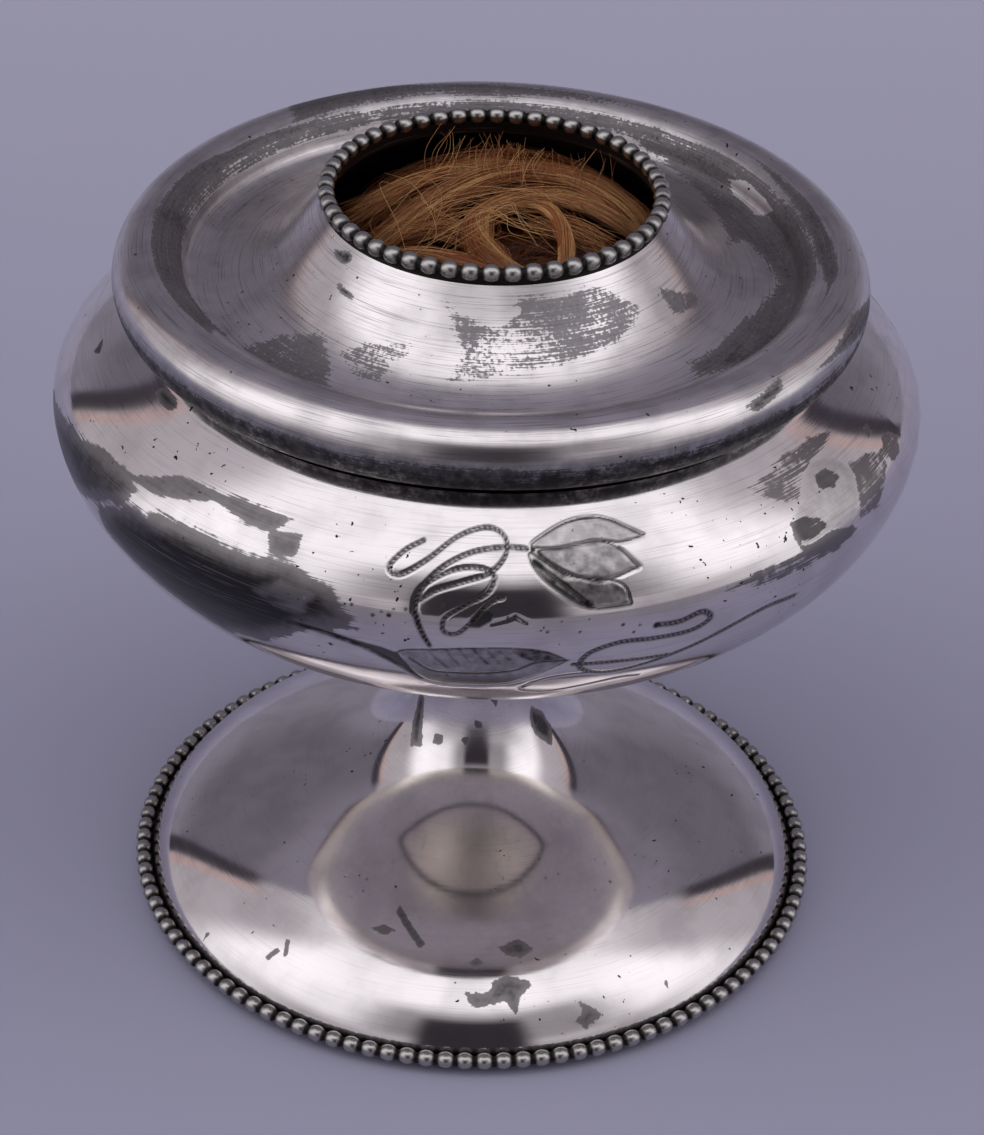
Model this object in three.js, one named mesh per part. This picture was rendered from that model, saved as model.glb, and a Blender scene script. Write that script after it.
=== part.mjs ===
// A hair receiver of worn silver plate: a bowl on a beaded pedestal foot, with a lift-off cover whose
// beaded round opening takes the combings. Millimetres, +Z up, every piece turned about the Z axis.
import * as THREE from 'three';

const { degToRad } = THREE.MathUtils;

// Metal and fits
const sheet = 0.9;                  // wall of the spun metal
const joinGap = 0.3;                // clear gap between pieces that are soldered or seated together
const slipGap = 0.3;                // clearance of the cover's bezel inside the mouth
const turnSteps = 32;               // facets round a turned piece

// Foot, from the table up
const footRadius = 44.5;            // outer edge of the spun foot, inside its beads
const footLand = 2;                 // width of the flat that stands on the table
const footEdge = 1.9;               // upright edge behind the beads
const rimWidth = 14.8;              // rounded rim between the edge and the straight plate
const rimTurn = 2;                  // share of that width that the steep side takes
const rimSlope = degToRad(72.5);    // slope where the rounded rim meets the edge
const plateSlope = degToRad(21);
const flareWidth = 13.4;            // hollow curve from the straight plate up to the neck
const flareRise = 15;
const neckRadius = 7.4;
const neckHeadRadius = 10;          // neck where it meets the stem plate
const neckHeadRise = 10;            // height over which the neck widens to its head

// Bowl, with the handles of its outline's curves
const bowlRadius = 55;              // at the belly
const bowlBottom = 47.1;            // underside at the axis
const bellyHeight = 75.8;           // widest part
const bottomPull = 43.9;
const bellyPullDown = 7.7;
const bellyPullUp = 3.8;
const shoulderPull = 9.4;
const shoulderRadius = 44.6;        // where the shoulder passes under the cover
const shoulderRise = 12.1;          // from the belly up to there
const shoulderSlope = degToRad(35);
const lipInset = 1.2;               // upright lip of the mouth, inwards from the shoulder's end
const lipBend = 1.4;                // height of the bend between shoulder and lip
const lipHeight = 1.7;
const saucerShare = 0.208;          // share of the underside's curve that the stem plate covers

// Cover, in heights above the seat on the lip
const coverOverhang = 3.75;         // how far the rolled rim stands out past the lip
const rollTube = 4.46;              // radius of the rolled rim
const rollHeight = 1.54;            // middle of the roll
const rollEnd = degToRad(-65);      // free edge of the roll, under the rim
const rollEntry = degToRad(165);    // where the dish runs into the roll
const entryPull = 1.8;              // handle of the curve there
const troughInset = 2.9;            // flat of the dish, inwards from the roll's entry
const troughSink = 0.44;            // and below the middle of the roll
const troughSlope = degToRad(4);
const coneRise = 10;                // from the flat of the dish to the lip of the opening
const coneWidth = 14.3;
const coneSlope = degToRad(50);     // at the opening
const conePullTop = 9;
const conePullFoot = 6;
const openingLip = 1.4;             // flat lip under the opening's beads
const bezelDepth = 6.8;             // how far the bezel reaches into the bowl
const bezelWall = 1;
const seatOverlap = 0.4;            // how far the bezel's seat reaches past the lip
const beadsOnLip = 0.65;            // middle of the opening's beads, as a share of its lip

// Beaded wire
const beadRadius = 1.1;
const beadPitch = 2.5;
const beadNeck = 0.55;              // wire between beads, as a share of a bead
const beadSides = 6;
const beadSteps = 2;                // rings of points for each bead

// Wad of hair
const hairRadius = 24;
const hairSeat = 8;                 // radius that rests on the bottom of the bowl
const hairBelowLip = 4.4;           // top of the hair under the lip of the opening
const hairRound = 18;               // height of its rounded top and bottom
const lockCount = 6;                // twisted locks round the wad
const lockDepth = 0.05;             // furrows between locks, as a share of the radius
const lockTwist = 0.06;             // turn of a lock for each millimetre of height, in radians

const silverPlate = { color: 0xb3b0ae, roughness: 0.22, metalness: 1 };
const oxidisedPlate = { color: 0x77736d, roughness: 0.35, metalness: 1 };
const hairFinish = { color: 0x9a6a35, roughness: 0.7, metalness: 0 };

const point = (radius, height) => new THREE.Vector2(radius, height);
const arm = (angle, length) => point(Math.cos(angle) * length, Math.sin(angle) * length);
const straight = (start, end) => new THREE.LineCurve(start, end);
const bend = (start, handle, end) => new THREE.QuadraticBezierCurve(start, handle, end);
const sweep = (start, first, second, end) => new THREE.CubicBezierCurve(start, first, second, end);

// One outline from several curves, each with its own number of steps
function outline(...stretches) {
  const line = [];
  for (const [curve, steps] of stretches) {
    const points = curve.getPoints(steps);
    line.push(...points.slice(line.length ? 1 : 0));
  }
  return line;
}

// The same outline moved to its left by a wall, which makes the inside of a shell
function inset(line, wall) {
  return line.map((here, index) => {
    const before = line[Math.max(index - 1, 0)];
    const after = line[Math.min(index + 1, line.length - 1)];
    const along = after.clone().sub(before).normalize();
    return point(Math.max(here.x - along.y * wall, 0), here.y + along.x * wall);
  });
}

// Height of an outline where it first reaches a radius
function heightAt(line, radius) {
  const index = line.findIndex((here) => here.x >= radius);
  const [before, after] = [line[index - 1], line[index]];
  return before.y + (after.y - before.y) * (radius - before.x) / (after.x - before.x);
}

// An outline turned about Z; it runs up the outside of the piece and down the inside
function turned(line) {
  return new THREE.LatheGeometry(line, turnSteps).rotateX(Math.PI / 2);
}

// A ring's outline, joined to its own start
function turnedRing(line) {
  return turned([...line, line[0].clone()]);
}

const bowlUnderside = sweep(
  point(0, bowlBottom),
  point(bottomPull, bowlBottom),
  point(bowlRadius, bellyHeight - bellyPullDown),
  point(bowlRadius, bellyHeight),
);
const lipRadius = shoulderRadius - lipInset;
const shoulderEnd = point(shoulderRadius, bellyHeight + shoulderRise);
const lipFoot = point(lipRadius, shoulderEnd.y + lipBend);
const lipTop = point(lipRadius, lipFoot.y + lipHeight);
const bowlOutside = outline(
  [bowlUnderside, 10],
  [sweep(
    point(bowlRadius, bellyHeight),
    point(bowlRadius, bellyHeight + bellyPullUp),
    shoulderEnd.clone().add(arm(-shoulderSlope, shoulderPull)),
    shoulderEnd,
  ), 6],
  [bend(shoulderEnd, point(lipRadius, shoulderEnd.y + lipInset * Math.tan(shoulderSlope)), lipFoot), 2],
  [straight(lipFoot, lipTop), 1],
);
const bowlInside = inset(bowlOutside, sheet);
const seatHeight = lipTop.y + joinGap;

function bowlShell() {
  return turned([...bowlOutside, ...bowlInside.toReversed()]);
}

// A saucer that follows the underside of the bowl and carries it on the neck
function stemPlate() {
  const steps = 5;
  const top = [];
  for (let step = 0; step <= steps; step += 1) {
    const place = bowlUnderside.getPoint(saucerShare * step / steps);
    top.push(point(place.x, place.y - joinGap));
  }
  const underside = top.map((place) => point(place.x, place.y - sheet));
  return turned([...underside, ...top.toReversed()]);
}

function footShell() {
  const edgeTop = point(footRadius, footEdge);
  const rimHandle = point(footRadius - rimTurn, footEdge + rimTurn * Math.tan(rimSlope));
  const plateOuter = footRadius - rimWidth;
  const plateInner = neckRadius + flareWidth;
  const plateHeight = (radius) => rimHandle.y + (rimHandle.x - radius) * Math.tan(plateSlope);
  const plateEnd = point(plateOuter, plateHeight(plateOuter));
  const plateTop = point(plateInner, plateHeight(plateInner));
  const waist = point(neckRadius, plateTop.y + flareRise);
  const head = point(neckHeadRadius, bowlBottom - 2 * joinGap - sheet);
  const headFoot = point(neckRadius, head.y - neckHeadRise);
  const headHandle = point(neckRadius, head.y - neckHeadRise / 4);
  const outside = outline(
    [bend(edgeTop, rimHandle, plateEnd), 6],
    [straight(plateEnd, plateTop), 1],
    [bend(plateTop, point(neckRadius, plateHeight(neckRadius)), waist), 5],
    [straight(waist, headFoot), 1],
    [bend(headFoot, headHandle, head), 3],
  );
  const inside = inset(outside, sheet).slice(0, -1);
  return turned([
    point(0, head.y - sheet),
    ...inside.toReversed(),
    point(footRadius - footLand, sheet),
    point(footRadius - footLand, 0),
    point(footRadius, 0),
    ...outside,
    point(0, head.y),
  ]);
}

// Cover outline, from the free edge of the roll over the rim, down the dish and up the cone
const rollMiddle = point(lipRadius + coverOverhang - rollTube, rollHeight);
const rollJoin = rollMiddle.clone().add(arm(rollEntry, rollTube));
const troughEnd = point(rollJoin.x - troughInset, rollHeight - troughSink);
const coneTop = point(troughEnd.x - coneWidth, troughEnd.y + coneRise);
const openingRadius = coneTop.x - openingLip;

function coverShell() {
  const roll = new THREE.EllipseCurve(rollMiddle.x, rollMiddle.y, rollTube, rollTube, rollEnd, rollEntry);
  const entryHandle = rollJoin.clone().add(arm(rollEntry + Math.PI / 2, entryPull));
  const outside = outline(
    [roll, 13],
    [bend(rollJoin, entryHandle, troughEnd), 3],
    [sweep(
      troughEnd,
      troughEnd.clone().add(arm(Math.PI - troughSlope, conePullFoot)),
      coneTop.clone().add(arm(-coneSlope, conePullTop)),
      coneTop,
    ), 7],
    [straight(coneTop, point(openingRadius, coneTop.y)), 1],
  );
  return turnedRing([...outside, ...inset(outside, sheet).toReversed()]);
}

// A seat that lies on the lip, with a bezel below it that keeps the cover in the mouth
function coverBezel() {
  const bezelOuter = lipRadius - sheet - slipGap;
  const bezelInner = bezelOuter - bezelWall;
  const seatInner = rollJoin.x + joinGap;
  const seatOuter = lipRadius + seatOverlap;
  return turnedRing([
    point(bezelOuter, -bezelDepth),
    point(bezelOuter, 0),
    point(seatOuter, 0),
    point(seatOuter, sheet),
    point(seatInner, sheet),
    point(seatInner, 0),
    point(bezelInner, 0),
    point(bezelInner, -bezelDepth),
  ]);
}

// A ring of beads drawn from one wire, which thins between one bead and the next
function beadedWire(ringRadius) {
  const count = Math.round(2 * Math.PI * ringRadius / beadPitch);
  const geometry = new THREE.TorusGeometry(ringRadius, beadRadius, beadSides, count * beadSteps);
  const places = geometry.attributes.position;
  const place = new THREE.Vector3();
  const middle = new THREE.Vector3();
  for (let index = 0; index < places.count; index += 1) {
    place.fromBufferAttribute(places, index);
    const angle = Math.atan2(place.y, place.x);
    const swell = beadNeck + (1 - beadNeck) * Math.abs(Math.sin(angle * count / 2));
    middle.set(ringRadius * Math.cos(angle), ringRadius * Math.sin(angle), 0);
    place.sub(middle).multiplyScalar(swell).add(middle);
    places.setXYZ(index, place.x, place.y, place.z);
  }
  return geometry;
}

// The combings: a wad that rests in the bowl and comes up under the opening, furrowed into locks
function hairWad() {
  const floor = heightAt(bowlInside, hairSeat) + joinGap;
  const top = seatHeight + coneTop.y - hairBelowLip;
  const seat = point(hairSeat, floor);
  const sideFoot = point(hairRadius, floor + hairRound);
  const sideTop = point(hairRadius, top - hairRound);
  const geometry = turned([
    point(0, floor),
    ...outline(
      [sweep(seat, point(hairRadius, floor + joinGap), sideFoot, sideFoot), 3],
      [straight(sideFoot, sideTop), 2],
      [sweep(sideTop, point(hairRadius, top), point(hairSeat, top), point(0, top)), 5],
    ),
  ]);
  const places = geometry.attributes.position;
  for (let index = 0; index < places.count; index += 1) {
    const [x, y, z] = [places.getX(index), places.getY(index), places.getZ(index)];
    const furrow = 1 + lockDepth * Math.cos(lockCount * Math.atan2(y, x) + lockTwist * lockCount * z);
    places.setXYZ(index, x * furrow, y * furrow, z);
  }
  return geometry;
}

function piece(name, geometry, finish) {
  const mesh = new THREE.Mesh(geometry, new THREE.MeshStandardMaterial(finish));
  mesh.name = name;
  return mesh;
}

const footBeads = piece('foot_bead_rim', beadedWire(footRadius + joinGap + beadRadius), oxidisedPlate);
footBeads.position.z = footEdge + joinGap;

const openingBeads = piece('opening_bead_ring', beadedWire(openingRadius + openingLip * beadsOnLip), oxidisedPlate);
openingBeads.position.z = coneTop.y + joinGap + beadRadius;

const base = new THREE.Group();
base.add(
  piece('foot_shell', footShell(), silverPlate),
  footBeads,
  piece('stem_plate', stemPlate(), silverPlate),
  piece('bowl_shell', bowlShell(), silverPlate),
  piece('hair_wad', hairWad(), hairFinish),
);

const cover = new THREE.Group();
cover.position.z = seatHeight;
cover.add(
  piece('cover_shell', coverShell(), silverPlate),
  piece('cover_bezel', coverBezel(), silverPlate),
  openingBeads,
);

const hairReceiver = new THREE.Group();
hairReceiver.add(base, cover);

export default hairReceiver;
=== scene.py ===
# A hair receiver of worn silver plate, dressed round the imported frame.
# Sizes are in millimetres and become metres where a mesh is made; azimuth 0 is the front, plus to the right.
import math

import bpy
import numpy as np
from mathutils import Matrix


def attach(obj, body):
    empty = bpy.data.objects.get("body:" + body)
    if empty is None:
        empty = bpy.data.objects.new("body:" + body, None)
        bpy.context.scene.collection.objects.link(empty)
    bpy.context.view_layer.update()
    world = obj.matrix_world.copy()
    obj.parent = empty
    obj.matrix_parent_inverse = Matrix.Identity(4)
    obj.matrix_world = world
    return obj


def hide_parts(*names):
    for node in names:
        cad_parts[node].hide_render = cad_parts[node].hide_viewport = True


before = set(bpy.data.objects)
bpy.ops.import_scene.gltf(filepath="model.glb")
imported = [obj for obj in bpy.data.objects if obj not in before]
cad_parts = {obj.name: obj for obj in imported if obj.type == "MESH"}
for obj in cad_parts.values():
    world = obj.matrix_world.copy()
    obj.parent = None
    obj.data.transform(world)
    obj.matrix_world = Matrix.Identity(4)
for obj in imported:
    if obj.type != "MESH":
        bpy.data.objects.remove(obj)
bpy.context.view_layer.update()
scene = bpy.context.scene
scene.view_settings.view_transform = "Standard"
mm = 0.001
random = np.random.default_rng(7)
print("frame loaded:", ", ".join(sorted(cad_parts)))


def linear(hexText):
    # sRGB to linear light: v / 12.92 when dark, else ((v + 0.055) / 1.055) to the power 2.4
    value = np.array([int(hexText[place:place + 2], 16) for place in (1, 3, 5)]) / 255
    light = np.where(value <= 0.04045, value / 12.92, ((value + 0.055) / 1.055) ** 2.4)
    return (*light.tolist(), 1.0)


def addNode(tree, kind, inputs, out=0, **settings):
    # one node with its settings; an input is linked where it is a socket and set where it is a value
    node = tree.nodes.new(kind)
    for key, value in settings.items():
        setattr(node, key, value)
    for key, value in inputs.items():
        if isinstance(value, bpy.types.NodeSocket):
            tree.links.new(value, node.inputs[key])
        else:
            node.inputs[key].default_value = value
    return node.outputs[out]


mathKind, rangeKind, mixKind, noiseKind = (
    "ShaderNodeMath", "ShaderNodeMapRange", "ShaderNodeMix", "ShaderNodeTexNoise")
multiplyAdd = dict(operation="MULTIPLY_ADD")   # first input times the second, plus the third
multiply = dict(operation="MULTIPLY")
softStep = dict(interpolation_type="SMOOTHSTEP")
blend = dict(data_type="RGBA", out=2)


def newMaterial(name):
    material = bpy.data.materials.new(name)
    material.use_nodes = True
    return material, material.node_tree, material.node_tree.nodes["Principled BSDF"]


def handleCurve(steps, *handles):
    # Bezier curve: neighbours mixed in the share t, again and again, until one point is left
    t = np.linspace(0, 1, steps + 1)[:, None]
    rows = [np.array(handle, float) for handle in handles]
    while len(rows) > 1:
        rows = [before + (after - before) * t for before, after in zip(rows, rows[1:])]
    return rows[0]


def arm(degrees, length):
    # arrow of a length at an angle: length times (cos, sin)
    return length * np.array([math.cos(math.radians(degrees)), math.sin(math.radians(degrees))])


def joined(*lines):
    # lines end to end, with the points where they meet only once
    return np.vstack([lines[0], *(line[1:] for line in lines[1:])])


def walled(line, wall):
    # the outline moved to its left by the wall, along the normal of its chord
    along = np.gradient(line, axis=0)
    along /= np.linalg.norm(along, axis=1, keepdims=True)
    moved = line + wall * np.stack([-along[:, 1], along[:, 0]], 1)
    moved[:, 0] = np.maximum(moved[:, 0], 0)
    return moved


def lengthAlong(line):
    # running sum of the chords, from 0 at the first point
    return np.concatenate([[0], np.cumsum(np.linalg.norm(np.diff(line, axis=0), axis=1))])


def resampled(line, marks):
    # points of the line at lengths along it, straight between its own
    along = lengthAlong(line)
    return np.stack([np.interp(marks, along, column) for column in line.T], 1)


def gridQuads(here, ring=False):
    # quads between neighbours in rows of numbered points; a row closes on itself, and a ring's rows do too
    right = np.roll(here, -1, axis=-1)
    if ring:
        corners = [here, right, np.roll(right, -1, axis=-2), np.roll(here, -1, axis=-2)]
    else:
        corners = [here[..., :-1, :], right[..., :-1, :], right[..., 1:, :], here[..., 1:, :]]
    return np.stack(corners, -1).reshape(-1, 4)


def turned(line, azimuths, ring=False):
    # each outline point (r, z) goes round the axis: x = r sin a, y = -r cos a; open outlines end in two poles
    body = line if ring else line[1:-1]
    radius, height = body[:, 0, None], body[:, 1, None]
    grid = np.stack(np.broadcast_arrays(radius * np.sin(azimuths), -radius * np.cos(azimuths), height), -1)
    here = np.arange(grid.shape[0] * grid.shape[1]).reshape(grid.shape[:2])
    along = np.repeat(lengthAlong(line)[slice(None) if ring else slice(1, -1)], len(azimuths))
    turn = np.tile(azimuths, len(body))
    points, tris = grid.reshape(-1, 3), np.zeros((0, 3), int)
    if not ring:
        right, pole = np.roll(here, -1, axis=1), np.full(len(azimuths), len(points))
        tris = np.concatenate([
            np.stack([pole, right[0], here[0]], 1), np.stack([here[-1], right[-1], pole + 1], 1)])
        points = np.vstack([points, [[0, 0, line[0, 1]], [0, 0, line[-1, 1]]]])
        along = np.append(along, [0, lengthAlong(line)[-1]])
        turn = np.append(turn, [0, 0])
    return dict(points=points, quads=gridQuads(here, ring), tris=tris, along=along, turn=turn)


def makePiece(name, shape, finish, fields=(), sharpAngle=40):
    # whole arrays go into the mesh: points, the corners of quads and triangles, and one field per look
    quads, tris = shape["quads"], shape["tris"]
    corners = np.concatenate([quads.ravel(), tris.ravel()])
    sides = np.concatenate([np.full(len(quads), 4), np.full(len(tris), 3)])
    mesh = bpy.data.meshes.new(name)
    mesh.vertices.add(len(shape["points"]))
    mesh.vertices.foreach_set("co", (shape["points"] * mm).astype(np.float32).ravel())
    mesh.loops.add(len(corners))
    mesh.loops.foreach_set("vertex_index", corners.astype(np.int32))
    mesh.polygons.add(len(sides))
    mesh.polygons.foreach_set("loop_start", (np.cumsum(sides) - sides).astype(np.int32))
    mesh.update(calc_edges=True)
    mesh.validate()
    mesh.shade_smooth()
    mesh.set_sharp_from_angle(angle=math.radians(sharpAngle))
    for key, values in dict(fields).items():
        mesh.attributes.new(key, "FLOAT", "POINT").data.foreach_set("value", values.astype(np.float32))
    mesh.materials.append(finish)
    obj = bpy.data.objects.new(name, mesh)
    scene.collection.objects.link(obj)
    print("made", name, len(quads) * 2 + len(tris), "triangles")
    return obj


# camera at the photograph's angle
view = dict(place=(0, -375.47, 301.61), pitch=34.04, yaw=0.21, roll=-2.06, lens=108.86, sensor=36,
            near=10, far=20000)


def placeCamera():
    # forward from pitch and yaw, then the picture's right and down turned by the roll
    pitch, yaw, roll = (math.radians(view[key]) for key in ("pitch", "yaw", "roll"))
    forward = np.array([
        math.sin(yaw) * math.cos(pitch), math.cos(yaw) * math.cos(pitch), -math.sin(pitch)])
    level = np.cross(forward, [0, 0, 1])
    level /= np.linalg.norm(level)
    plumb = np.cross(forward, level)
    right = math.cos(roll) * level + math.sin(roll) * plumb
    down = math.cos(roll) * plumb - math.sin(roll) * level
    data = bpy.data.cameras.new("camera")
    data.lens, data.sensor_width = view["lens"], view["sensor"]
    data.clip_start, data.clip_end = view["near"] * mm, view["far"] * mm
    camera = bpy.data.objects.new("camera", data)
    place = np.eye(4)
    place[:3, :3] = np.stack([right, -down, -forward], 1)
    place[:3, 3] = np.array(view["place"]) * mm
    camera.matrix_world = Matrix(place.tolist())
    scene.collection.objects.link(camera)
    scene.camera = camera


placeCamera()

# light tent, as the metal sees it: cloths in the order they hang, with windows (middle, half, soft edge) in
# degrees; azimuth is from the front, side is its size either way, and corner follows the slanting back edge
tentWall, tentLevel = "#f2f2f5", 1.2   # white cloth in front, at the sides and overhead
cornerLean = 0.23                      # how far the back edge leans forward for each degree up
tentLayers = [
    dict(colour="#918f93", azimuth=(8, 30, 26), elevation=(33, 12, 14)),     # shaded cloth round the camera
    dict(colour="#a9a6ab", azimuth=(0, 50, 40), elevation=(-90, 97, 20)),    # table edge and room below
    dict(colour="#312e33", azimuth=(2, 15, 8), elevation=(20, 20, 8)),       # gap for the camera
    dict(colour="#a9a6ab", corner=(122, 12, 18), elevation=(10, 40, 25)),    # shaded cloth by the corners
    dict(colour="#7c7986", corner=(190, 58, 2), elevation=(0, 80, 14)),      # grey paper hung behind
    dict(colour="#67646f", corner=(190, 58, 2), elevation=(28, 8, 16)),      # paper that the lamps miss
    dict(colour="#35323a", corner=(131, 1.8, 1.3), elevation=(0, 42, 6)),    # dark slit at each back corner
    dict(colour="#b9a09c", corner=(126.6, 0.5, 1.2), elevation=(0, 42, 6)),  # warm light that leaks in there
]
tentGlows = [
    dict(level=0.28, side=(82, 4, 34), elevation=(40, 6, 26)),      # lamp behind each side cloth
    dict(level=0.22, azimuth=(0, 20, 75), elevation=(60, 6, 22)),   # light overhead
]


def hangTent():
    # azimuth atan2(x, -y) and elevation asin z of the ray, in degrees, with smooth steps at a window's edges
    world = bpy.data.worlds.new("light tent")
    scene.world = world
    world.use_nodes = True
    tree = world.node_tree
    ray = addNode(tree, "ShaderNodeSeparateXYZ", {0: addNode(tree, "ShaderNodeTexCoord", {})}).node.outputs
    forward = addNode(tree, mathKind, {0: ray[1], 1: -1.0}, **multiply)
    turn = addNode(tree, mathKind, {0: ray[0], 1: forward}, operation="ARCTAN2")
    lift = addNode(tree, mathKind, {0: ray[2]}, operation="ARCSINE")
    azimuth = addNode(tree, mathKind, {0: turn}, operation="DEGREES")
    side = addNode(tree, mathKind, {0: azimuth}, operation="ABSOLUTE")
    elevation = addNode(tree, mathKind, {0: lift}, operation="DEGREES")
    corner = addNode(tree, mathKind, {0: elevation, 1: cornerLean, 2: side}, **multiplyAdd)
    angles = dict(azimuth=azimuth, side=side, elevation=elevation, corner=corner)
    colour, level = linear(tentWall), tentLevel
    for layer in tentLayers + tentGlows:
        share = 1.0
        for key in (name for name in angles if name in layer):
            middle, half, soft = layer[key]
            offset = addNode(tree, mathKind, {0: angles[key], 1: middle}, operation="SUBTRACT")
            reach = addNode(tree, mathKind, {0: offset}, operation="ABSOLUTE")
            fade = addNode(tree, rangeKind, {0: reach, 1: half + soft, 2: half}, **softStep)
            share = addNode(tree, mathKind, {0: fade, 1: share}, **multiply)
        if "colour" in layer:
            colour = addNode(tree, mixKind, {0: share, 6: colour, 7: linear(layer["colour"])}, **blend)
        else:
            level = addNode(tree, mathKind, {0: share, 1: layer["level"], 2: level}, **multiplyAdd)
    background = tree.nodes["Background"]
    tree.links.new(colour, background.inputs["Color"])
    tree.links.new(level, background.inputs["Strength"])


hangTent()

# far is a paler tone for the paper behind: painted light
paper = dict(tone="#a9a7be", cloud="#afadc4", front="#a4a2ad", far="#bcbace", cloudSize=90,
             frontFrom=-60, frontTo=-320, farFrom=0, farTo=420, roughness=0.8, gloss=0.2,
             half=2500, height=-0.05)


def layFloor():
    # uncoated grey-lilac paper: matt, with a faint cloudy tone, greyer where it comes forward, and paler
    # behind as painted light
    material, tree, shader = newMaterial("grey background paper")
    place = addNode(tree, "ShaderNodeTexCoord", {}, out="Object")
    depth = addNode(tree, "ShaderNodeSeparateXYZ", {0: place}, out=1)
    cloud = addNode(tree, noiseKind, {"Vector": place, "Scale": 1 / (paper["cloudSize"] * mm), "Detail": 3})
    tone = addNode(tree, mixKind, {0: cloud, 6: linear(paper["tone"]), 7: linear(paper["cloud"])}, **blend)
    for key in ("front", "far"):
        reach = {0: depth, 1: paper[key + "From"] * mm, 2: paper[key + "To"] * mm}
        share = addNode(tree, rangeKind, reach, **softStep)
        tone = addNode(tree, mixKind, {0: share, 6: tone, 7: linear(paper[key])}, **blend)
    tree.links.new(tone, shader.inputs["Base Color"])
    shader.inputs["Roughness"].default_value = paper["roughness"]
    shader.inputs["Specular IOR Level"].default_value = paper["gloss"]
    corners = np.array([(x * paper["half"], y * paper["half"], paper["height"])
                        for x, y in ((-1, -1), (1, -1), (1, 1), (-1, 1))])
    shape = dict(points=corners, quads=np.array([[0, 1, 2, 3]]), tris=np.zeros((0, 3), int))
    makePiece("paper_floor", shape, material)


layFloor()
print("camera, tent and floor set")

# finishes; sizes of their patterns in mm
platedSilver = dict(
    silver="#e1dadb", warm="#f9f3e4", film="#7f7a7c", thickFilm="#3a3838", pit="#2b2826", cut="#1a1817",
    # shaded is the tone of engraved shading, and painted shade where the cover uses it
    shaded="#3f3d3e", blotchSize=6.0, pitSize=0.9, pitGroup=16.0, streakWide=0.16, streakLong=9.0,
    waveSize=22.0, mottleSize=1.3, roughness=0.1, filmRoughness=0.33, haze=0.35, scratch=0.6, group=0.08,
    # where each pattern starts to tell and where it tells in full, the films' from the edge of their patch
    filmSpan=(-0.03, 0.05), thickSpan=(0.12, 0.65), brushedSpan=(0.5, 0.75), hazeSpan=(0.4, 0.7),
    scratchSpan=(0.56, 0.68), groupSpan=(0.42, 0.6), pitEdge=0.02, patchy=(0.3, 0.65, 0.6, 1.1),
    # roughness that a pattern adds, what the first two add on average, and heights for the bump
    streakRough=0.1, blotchRough=0.08, meanRough=0.09, cutRough=0.3, shadedRough=0.15, dullRough=0.35,
    pitHeight=-0.02, streakHeight=0.012, waveHeight=0.6, bump=0.25, bumpDepth=0.5,
)


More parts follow.
